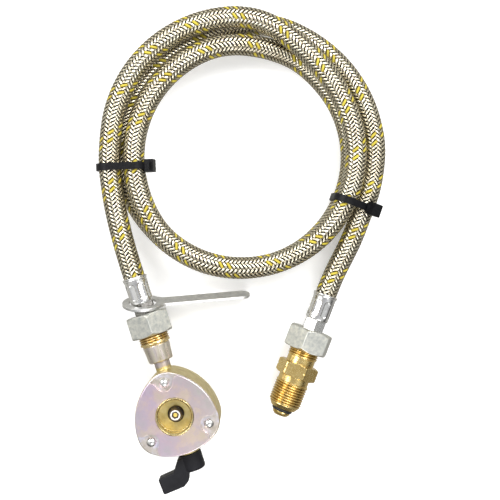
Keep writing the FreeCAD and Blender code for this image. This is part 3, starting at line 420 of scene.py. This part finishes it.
def turned_mesh(name, base, axis, up, rows, around, shape=None, sharp=28.0):
    """A ring turned about an axis from rows of (distance, radius).

    shape, where one is given, changes the radius by distance and angle.
    """
    axis, up = Vector(axis).normalized(), Vector(up)
    up = (up - axis * up.dot(axis)).normalized()
    side = axis.cross(up)
    angle = np.arange(around) * 2 * math.pi / around
    distance = np.array([row[0] for row in rows])[:, None] + 0 * angle[None]
    plain = np.array([row[1] for row in rows])[:, None] + 0 * angle[None]
    radius = shape(distance, plain, angle[None] + 0 * distance) if shape else plain
    lift = np.where(plain < hexagon_row, radius - plain, 0)
    lift = np.concatenate([lift, lift[:1]])
    out = np.cos(angle)[None, :, None] * np.array(up) + np.sin(angle)[None, :, None] * np.array(side)
    rings = np.array(base) + distance[:, :, None] * mm * np.array(axis) + out * radius[:, :, None] * mm
    rings = np.concatenate([rings, rings[:1]])
    mesh = grid_mesh(name, rings[None], close_ends=False, values=lift[None])
    shell = bmesh.new()
    shell.from_mesh(mesh)
    bmesh.ops.remove_doubles(shell, verts=shell.verts, dist=1e-6)
    bmesh.ops.recalc_face_normals(shell, faces=shell.faces)
    shell.to_mesh(mesh)
    shell.free()
    mesh.set_sharp_from_angle(angle=math.radians(sharp))
    return mesh


def between(low, high, count):
    return [low + (high - low) * k / (count - 1) for k in range(count)]


def soft_step(value):
    value = np.clip(value, 0, 1)
    return value * value * (3 - 2 * value)


ferrule_length = 18.1
ferrule_radius = 7.6
sleeve_bore = 4.6
end_roll = 0.9                    # radius of the rounded outer end
lip_radius = 8.3
lip_roll = 0.8                    # radius of the rolled lip's section
lip_start = 16.5
panel_count = 8
panel_half_width = 2.05
panel_ends = (2.3, 13.6)
panel_depth = 0.72
panel_side = 0.42


def press_panels(distance, radius, angle):
    """Flats pressed in round the sleeve, with round ends and soft sides."""
    step = 2 * math.pi / panel_count
    off = (angle % step) - step / 2
    sideways = np.abs(off) * ferrule_radius
    middle = sum(panel_ends) / 2
    half_run = (panel_ends[1] - panel_ends[0]) / 2 - panel_half_width
    lengthways = np.maximum(np.abs(distance - middle) - half_run, 0)
    gap = panel_half_width - np.hypot(sideways, lengthways)
    flat = (ferrule_radius - panel_depth) / np.cos(off)
    pressed = radius + (np.minimum(flat, radius) - radius) * soft_step(gap / panel_side + 0.3)
    return np.where(radius > ferrule_radius - 1.0, np.minimum(pressed, radius), radius)


ferrule_rows = [(0, sleeve_bore), (0, ferrule_radius - end_roll)]
ferrule_rows += [(end_roll * (1 - math.cos(a)), ferrule_radius - end_roll * (1 - math.sin(a)))
                 for a in between(0.3, math.pi / 2, 5)]
ferrule_rows += [(d, ferrule_radius) for d in between(1.2, 15.3, 58)]
ferrule_rows += [(lip_start - 0.55, ferrule_radius + 0.1), (lip_start - 0.2, ferrule_radius + 0.45)]
ferrule_rows += [(lip_start + lip_roll * (1 - math.cos(a)), lip_radius - lip_roll * (1 - math.sin(a)))
                 for a in between(0.6, math.pi - 0.3, 9)]
ferrule_rows += [(ferrule_length, ferrule_radius - 0.25), (ferrule_length, sleeve_bore)]
bright_sleeve = plated("bright_sleeve", [(0.3, 0.72, 0.71, 0.70), (0.5, 0.88, 0.88, 0.87),
                                         (0.7, 0.95, 0.95, 0.95)],
                       roughness=(0.13, 0.24), patch=320.0, grain=1400.0, grain_depth=0.00004)
sleeve_points_round = 128
upright = (0, 0, 1)
outlet_axis = (0, 1, 0)
near_sleeve_base = (Vector(hose_exit) - ferrule_length * Vector(outlet_axis)) * mm
near_sleeve_mesh = turned_mesh("near_sleeve", near_sleeve_base, outlet_axis, upright, ferrule_rows,
                               sleeve_points_round, press_panels)
near_sleeve = link_piece("near_sleeve", near_sleeve_mesh, bright_sleeve, "regulator")
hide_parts("near_ferrule")

far_end_start = Vector(route[-1]) * mm
far_axis = (Vector(route[-1]) - Vector(route[-2])).normalized()
far_sleeve_base = far_end_start + far_axis * ferrule_length * mm
far_sleeve_mesh = turned_mesh("far_sleeve", far_sleeve_base, -far_axis, upright, ferrule_rows,
                              sleeve_points_round, press_panels)
far_sleeve = link_piece("far_sleeve", far_sleeve_mesh, bright_sleeve, "regulator")
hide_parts("far_ferrule")

# ---------------------------------------------------------------- brass adaptor on the far end
# A turned brass fitting: union thread under the nut, a hexagon with marked corners for a left-hand
# thread, the cylinder thread, and a cone with a rubber ring and a rounded nose that seals in the valve.
adaptor_start = 32.4              # distance of the union's sealing face from the end of the hose
union_radius = 10.0
union_pitch = 1.5
union_thread_end = 12.0
collar_radius = 9.3
hexagon_ends = (16.7, 25.9)
hexagon_flats = 24.0
second_collar_radius = 10.2
second_collar_end = 30.0
cylinder_thread_radius = 10.9
cylinder_thread_end = 44.2
cylinder_pitch = 1.68
groove_ends = (48.2, 50.3)
nose_end = 53.3
bore_radius = 2.6
corner_turned_off = 1.7           # taken off the hexagon's corners at its two ends
corner_mark = 0.7
mark_half_width = 0.6
union_thread_depth = 0.75
cylinder_thread_depth = 0.8
thread_flank = 2.6                # slope of a thread's sides
thread_crest = 0.18               # share of a turn that is left uncut
ring_seat_radius = 5.4
adaptor_points_round = 144
hexagon_turn = math.radians(9)


def thread_cut(distance, angle, start, end, pitch, depth, hand):
    """How deep the thread is cut at each place, running out softly at both ends."""
    place = (distance / pitch - hand * angle / (2 * math.pi)) % 1.0
    tooth = np.clip(np.abs(place - 0.5) * thread_flank - thread_crest, 0, 1)
    fade = soft_step((distance - start) / (0.8 * pitch)) * soft_step((end - distance) / (0.5 * pitch))
    return depth * tooth * fade


def adaptor_shape(distance, radius, angle):
    corner = hexagon_flats / math.sqrt(3)
    off = ((angle - hexagon_turn + math.pi / 6) % (math.pi / 3)) - math.pi / 6
    flats = hexagon_flats / 2 / np.cos(off)
    edge = np.minimum(distance - hexagon_ends[0], hexagon_ends[1] - distance)
    turned_off = corner - corner_turned_off + (corner_turned_off + 0.1) * np.clip(edge, 0, 1)
    off_middle = np.abs(distance - sum(hexagon_ends) / 2)
    mark = corner - corner_mark * np.clip(1 - off_middle / mark_half_width, 0, 1)
    hexagon = np.minimum(np.minimum(flats, turned_off), mark)
    first = radius - thread_cut(distance, angle, 0.6, union_thread_end, union_pitch, union_thread_depth, 1)
    second = radius - thread_cut(distance, angle, second_collar_end + 0.5, cylinder_thread_end + 1.5,
                                 cylinder_pitch, cylinder_thread_depth, -1)
    shaped = np.where((radius > union_radius - 0.1) & (distance < union_thread_end + 0.01), first, radius)
    shaped = np.where((distance > second_collar_end + 0.3) & (radius > collar_radius + 0.1), second, shaped)
    return np.where(radius >= hexagon_row, hexagon, shaped)


adaptor_rows = [(0, bore_radius), (0, 9.2)] + [(d, min(union_radius, 9.2 + d)) for d in between(0.3, 0.8, 3)]
adaptor_rows += [(d, union_radius) for d in between(0.99, union_thread_end - 0.2, 60)]
adaptor_rows += [(union_thread_end, collar_radius + 0.35), (union_thread_end + 0.3, collar_radius)]
adaptor_rows += [(d, collar_radius) for d in between(12.8, hexagon_ends[0] - 0.02, 4)]
adaptor_rows += [(d, hexagon_row) for d in between(hexagon_ends[0], hexagon_ends[0] + 1.1, 9)]
adaptor_rows += [(d, hexagon_row) for d in between(hexagon_ends[0] + 1.7, 20.2, 3)]
adaptor_rows += [(d, hexagon_row) for d in between(20.6, 22.0, 11)]
adaptor_rows += [(d, hexagon_row) for d in between(22.6, hexagon_ends[1] - 1.7, 3)]
adaptor_rows += [(d, hexagon_row) for d in between(hexagon_ends[1] - 1.1, hexagon_ends[1], 9)]
adaptor_rows += [(hexagon_ends[1] + 0.02, second_collar_radius + 0.25),
                 (hexagon_ends[1] + 0.3, second_collar_radius)]
adaptor_rows += [(d, second_collar_radius) for d in between(26.8, second_collar_end, 5)]
step_length = 0.6                 # cone from the second collar up to the cylinder thread
step_rise = cylinder_thread_radius - second_collar_radius
adaptor_rows += [(second_collar_end + step_length * share, second_collar_radius + step_rise * share)
                 for share in (0.5, 1)]
adaptor_rows += [(d, cylinder_thread_radius) for d in between(30.8, cylinder_thread_end, 76)]
cone_rows = between(cylinder_thread_end + 0.2, groove_ends[0] - 0.4, 12)
adaptor_rows += [(d, cylinder_thread_radius - 2.9 * (d - cylinder_thread_end) / 4.0) for d in cone_rows]
adaptor_rows += [(groove_ends[0] - 0.1, 8.1), (groove_ends[0], 7.8), (groove_ends[0], ring_seat_radius)]
adaptor_rows += [(groove_ends[1], ring_seat_radius), (groove_ends[1], 5.8), (groove_ends[1] + 0.2, 6.0)]
adaptor_rows += [(51.2, 5.85), (51.9, 5.5), (52.6, 4.9), (53.1, 4.3), (nose_end, 3.9), (nose_end, bore_radius)]
turned_brass = plated("turned_brass", [(0.28, 0.74, 0.53, 0.19), (0.5, 0.86, 0.64, 0.25),
                                       (0.72, 0.94, 0.74, 0.34)],
                      roughness=(0.17, 0.30), patch=260.0, grain=1800.0, grain_depth=0.00003,
                      edge=(0.98, 0.86, 0.52), edge_width=0.0002, root_shade=(0.38, 0.23, 0.06))
adaptor_mesh = turned_mesh("brass_adaptor", far_end_start + far_axis * adaptor_start * mm, far_axis, upright,
                           adaptor_rows, adaptor_points_round, adaptor_shape)
adaptor = link_piece("brass_adaptor", adaptor_mesh, turned_brass, "regulator")
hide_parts("pol_adaptor")


def dress(material, *names):
    """Gives the pieces of these nodes a finish."""
    for name in names:
        materials = nodes[name].data.materials
        for k in range(len(materials)):
            materials[k] = material


ring_rubber = plated("ring_rubber", [(0.3, 0.010, 0.010, 0.011), (0.7, 0.022, 0.022, 0.024)],
                     roughness=(0.32, 0.5), patch=500.0, grain=2500.0,
                     grain_depth=0.00003, metallic=0.0)
dress(ring_rubber, "pol_o_ring", "shaft_seal", "probe_seals", "diaphragm")

# ---------------------------------------------------------------- threaded union at the regulator
# The brass half of the union that the hose nut runs on, screwed into the end of the outlet boss.
# Two or three turns of its thread show between the boss and the nut.
union_start = 45.8                # distance of the union's shoulder from the socket's axis
union_shoulder = 1.2
union_end = 14.2
union_cut_depth = 0.8
union_points_round = 128


def union_shape(distance, radius, angle):
    cut = thread_cut(distance, angle, union_shoulder + 0.2, union_end, union_pitch, union_cut_depth, 1)
    return np.where((radius > union_radius - 0.1) & (distance > union_shoulder), radius - cut, radius)


union_rows = [(-5, bore_radius), (-5, 6.0), (0, 6.0), (0, 8.8), (0.7, 8.8), (0.7, 9.5), (0.95, 9.8),
              (1.2, union_radius)]
union_rows += [(d, union_radius) for d in between(1.4, union_end - 0.8, 66)]
union_rows += [(union_end, 9.2), (union_end, bore_radius)]
warm_brass = plated("warm_brass", [(0.28, 0.72, 0.54, 0.24), (0.5, 0.86, 0.68, 0.36),
                                   (0.72, 0.95, 0.80, 0.50)],
                    roughness=(0.18, 0.32), patch=300.0, grain=1800.0, grain_depth=0.00003,
                    root_shade=(0.36, 0.22, 0.07))
union_base = (0, union_start * mm, hose_exit[2] * mm)
union_mesh = turned_mesh("regulator_union", union_base, outlet_axis, upright, union_rows,
                         union_points_round, union_shape)
union = link_piece("regulator_union", union_mesh, warm_brass, "regulator")
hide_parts("outlet_union")
dress(turned_brass, "valve_seat", "relay_pin")

# ---------------------------------------------------------------- nuts, hose tails and washers
# Pressed steel nuts with zinc plate and a thin yellowish passivation, patchy on the flats.
# Each turns on a tail, a steel stem that is barbed inside the hose and hexagonal behind the nut.
zinc_plate = plated("zinc_plate", [(0.25, 0.42, 0.45, 0.43), (0.42, 0.60, 0.61, 0.57),
                                   (0.58, 0.72, 0.72, 0.66),
                                   (0.75, 0.88, 0.87, 0.77)],
                    roughness=(0.30, 0.46), patch=380.0, grain=1500.0, grain_depth=0.00006,
                    edge=(0.97, 0.96, 0.90), edge_width=0.0007)
bright_neck = plated("bright_neck", [(0.3, 0.80, 0.80, 0.79), (0.7, 0.95, 0.95, 0.94)],
                     roughness=(0.20, 0.34), patch=300.0, grain=1500.0, grain_depth=0.00004,
                     edge=(0.99, 0.99, 0.98), edge_width=0.0004)
# The near tail is the same steel as the far one; its darker copy of the finish is painted shade for the shadow
# it lies in by the nut and the spanner.
shaded_neck = plated("shaded_neck", [(0.3, 0.16, 0.15, 0.14), (0.55, 0.34, 0.33, 0.31), (0.75, 0.60, 0.59, 0.56)],
                   roughness=(0.3, 0.5), patch=600.0, grain=1500.0, grain_depth=0.00010,
                   edge=(0.80, 0.80, 0.78), edge_width=0.0004)
fibre_board = plated("fibre_board", [(0.3, 0.30, 0.10, 0.06), (0.7, 0.45, 0.17, 0.10)],
                     roughness=(0.7, 0.9), patch=400.0, grain=2500.0, grain_depth=0.0001,
                     metallic=0.0)
dress(zinc_plate, "near_nut", "far_nut")
dress(shaded_neck, "near_tail")
dress(bright_neck, "far_tail")
dress(fibre_board, "near_washer", "far_washer")

# ---------------------------------------------------------------- spanner
# A small stamped steel spanner for the cylinder nut, left hanging loose round the near tail.
# It is zinc plated over a rough blank, and its cut edges catch the light.
stamped_zinc = plated("stamped_zinc", [(0.3, 0.56, 0.56, 0.56), (0.5, 0.70, 0.70, 0.69),
                                       (0.7, 0.82, 0.82, 0.80)],
                      roughness=(0.36, 0.52), patch=260.0, grain=900.0, grain_depth=0.00012,
                      edge=(0.96, 0.96, 0.95), edge_width=0.0006)
dress(stamped_zinc, "spanner")

# ---------------------------------------------------------------- cable ties
# Two black nylon ties, pulled round the three strands of the coil where they lie together.
# Each strap goes through its own square head, and its cut end stands a little out of it.
nylon, tree, shader = new_finish("nylon", 0.0, 0.42)
shader.inputs["Specular IOR Level"].default_value = 0.15
place = add(tree, "ShaderNodeTexCoord").outputs["Object"]
mould = add(tree, "ShaderNodeTexNoise", [("Vector", place), ("Scale", 900.0), ("Detail", 4.0)])
tree.links.new(ramp(tree, mould.outputs["Fac"], [(0.3, 0.004, 0.004, 0.005), (0.7, 0.012, 0.012, 0.013)]),
               shader.inputs["Base Color"])
mould_bump = add(tree, "ShaderNodeBump", [("Height", mould.outputs["Fac"]), ("Distance", 0.00008)])
tree.links.new(mould_bump.outputs["Normal"], shader.inputs["Normal"])
dress(nylon, "tie_left", "tie_right")

# ---------------------------------------------------------------- regulator body
# A die-cast zinc body with yellow passivation, and a flat face plate held by three domed rivets.
# The plate is passivated too, and its thin film shows pink, silver and peach.
cast_gold = plated("cast_gold", [(0.28, 0.62, 0.49, 0.18), (0.5, 0.80, 0.66, 0.29), (0.72, 0.92, 0.81, 0.45)],
                   roughness=(0.30, 0.46), patch=180.0, grain=1300.0, grain_depth=0.00010,
                   edge=(0.97, 0.90, 0.62), edge_width=0.0008)
film = plated("film", [(0.26, 0.66, 0.68, 0.62), (0.38, 0.74, 0.69, 0.72), (0.50, 0.78, 0.68, 0.74),
                       (0.60, 0.86, 0.74, 0.68), (0.72, 0.84, 0.76, 0.62)],
              roughness=(0.28, 0.40), patch=75.0, grain=1500.0, grain_depth=0.00004,
              edge=(0.95, 0.88, 0.80), edge_width=0.0004)


def tint_along(material, direction, low, high, stops):
    """Multiplies a finish by colours that change between two places along X, Y or Z."""
    tree = material.node_tree
    shader = tree.nodes["Principled BSDF"]
    colour = shader.inputs["Base Color"].links[0].from_socket
    place = add(tree, "ShaderNodeTexCoord").outputs["Object"]
    measured = add(tree, "ShaderNodeSeparateXYZ", [("Vector", place)]).outputs[direction]
    share = add(tree, "ShaderNodeMapRange", [("Value", measured), ("From Min", low),
                                             ("From Max", high)]).outputs[0]
    tint = ramp(tree, share, stops)
    mixed = add(tree, "ShaderNodeMix", [(0, 1.0), (6, colour), (7, tint)], data_type="RGBA",
                blend_type="MULTIPLY")
    tree.links.new(mixed.outputs[2], shader.inputs["Base Color"])


plate_half_width = 26 * mm
tint_along(film, "X", -plate_half_width, plate_half_width,
           [(0.0, 0.92, 0.96, 0.96), (0.25, 0.97, 0.92, 1.0), (0.6, 1.0, 0.97, 0.92),
                                                (1.0, 0.94, 0.97, 0.90)])
tint_along(film, "Y", -plate_half_width, plate_half_width,
           [(0.0, 1.0, 0.99, 0.98), (0.5, 1.0, 0.97, 0.97), (1.0, 0.97, 0.95, 1.0)])
ledge_height = 42.2 * mm          # the ledge round the plate is paler than the wall
neck_start = 30.5 * mm            # and so is the neck of the outlet
tint_width = 0.2 * mm
tint_along(cast_gold, "Z", ledge_height - tint_width, ledge_height + tint_width,
           [(0.0, 1.0, 1.0, 1.0), (1.0, 0.88, 0.98, 2.1)])
tint_along(cast_gold, "Y", neck_start - 0.5 * mm, neck_start + 0.5 * mm,
           [(0.0, 1.0, 1.0, 1.0), (1.0, 0.72, 0.76, 1.60)])
pale_boss = plated("pale_boss", [(0.28, 0.62, 0.52, 0.40), (0.45, 0.80, 0.74, 0.62), (0.6, 0.84, 0.74, 0.70),
                                 (0.75, 0.86, 0.84, 0.80)],
                   roughness=(0.24, 0.40), patch=420.0, grain=1500.0, grain_depth=0.00005,
                   stretch=(1, 0.12, 1), edge=(0.97, 0.92, 0.78), edge_width=0.0004)
rivet_steel = plated("rivet_steel", [(0.3, 0.72, 0.72, 0.71), (0.7, 0.92, 0.92, 0.90)],
                     roughness=(0.16, 0.28), patch=300.0, grain=1500.0, grain_depth=0.00003)
screw_steel = plated("screw_steel", [(0.3, 0.50, 0.50, 0.50), (0.7, 0.74, 0.74, 0.73)],
                     roughness=(0.22, 0.36), patch=300.0, grain=1500.0, grain_depth=0.00004,
                     edge=(0.9, 0.9, 0.9), edge_width=0.0003)
dress(cast_gold, "housing", "bonnet")
dress(film, "face_plate")
dress(pale_boss, "outlet_boss")
dress(rivet_steel, "rivets")
dress(screw_steel, "bonnet_screws", "lever_screw")

# ---------------------------------------------------------------- socket and probe
# The quick-connect socket: a thin gold liner with a locking groove, and a dark ribbed probe in the
# middle that carries two seals, a white nozzle ring and the brass push pin that opens the bottle valve.
socket_gold = plated("socket_gold", [(0.3, 0.60, 0.43, 0.14), (0.5, 0.82, 0.66, 0.30),
                                     (0.7, 0.92, 0.82, 0.50)],
                     roughness=(0.16, 0.30), patch=200.0, grain=1500.0, grain_depth=0.00004,
                     edge=(0.98, 0.93, 0.72), edge_width=0.0003)
probe_dark = plated("probe_dark", [(0.3, 0.045, 0.030, 0.020), (0.7, 0.12, 0.085, 0.055)],
                    roughness=(0.28, 0.42), patch=400.0, grain=2000.0, grain_depth=0.00004,
                    metallic=0.4, edge=(0.35, 0.26, 0.16), edge_width=0.0003)
nozzle_white = plated("nozzle_white", [(0.3, 0.76, 0.76, 0.74), (0.7, 0.86, 0.86, 0.84)],
                      roughness=(0.35, 0.5), patch=300.0, grain=2500.0, grain_depth=0.00003,
                      metallic=0.0, edge=(0.95, 0.95, 0.94), edge_width=0.0002)
dress(socket_gold, "socket_liner")
dress(probe_dark, "probe")
nozzle_foot = 38.3 * mm           # below this the nozzle is as dark as the probe
tint_along(nozzle_white, "Z", nozzle_foot, nozzle_foot + 0.5 * mm,
           [(0.0, 0.10, 0.07, 0.04), (1.0, 1.0, 1.0, 1.0)])
pin_gold = plated("pin_gold", [(0.3, 0.95, 0.66, 0.12), (0.7, 1.0, 0.80, 0.26)], roughness=(0.30, 0.40),
                  patch=300.0, grain=2500.0, grain_depth=0.00002,
                  metallic=0.6)
dress(nozzle_white, "probe_tip")
dress(pin_gold, "push_pin")

# ---------------------------------------------------------------- lever, shaft and the works inside
# A moulded black lever turns the cam shaft. Inside are the relay lever, its stage plate and springs.
lever_black = plated("lever_black", [(0.3, 0.006, 0.006, 0.008), (0.7, 0.013, 0.013, 0.016)],
                     roughness=(0.42, 0.6), patch=120.0, grain=2600.0,
                     grain_depth=0.00006, metallic=0.0, edge=(0.05, 0.05, 0.055), edge_width=0.0012,
                     gloss=0.22)
works_steel = plated("works_steel", [(0.3, 0.40, 0.40, 0.41), (0.7, 0.62, 0.62, 0.62)],
                     roughness=(0.25, 0.4), patch=300.0, grain=1500.0, grain_depth=0.00004,
                     edge=(0.8, 0.8, 0.8), edge_width=0.0003)
dress(lever_black, "lever")
dress(works_steel, "cam_shaft", "relay_lever", "diaphragm_plate", "range_spring", "pin_spring")
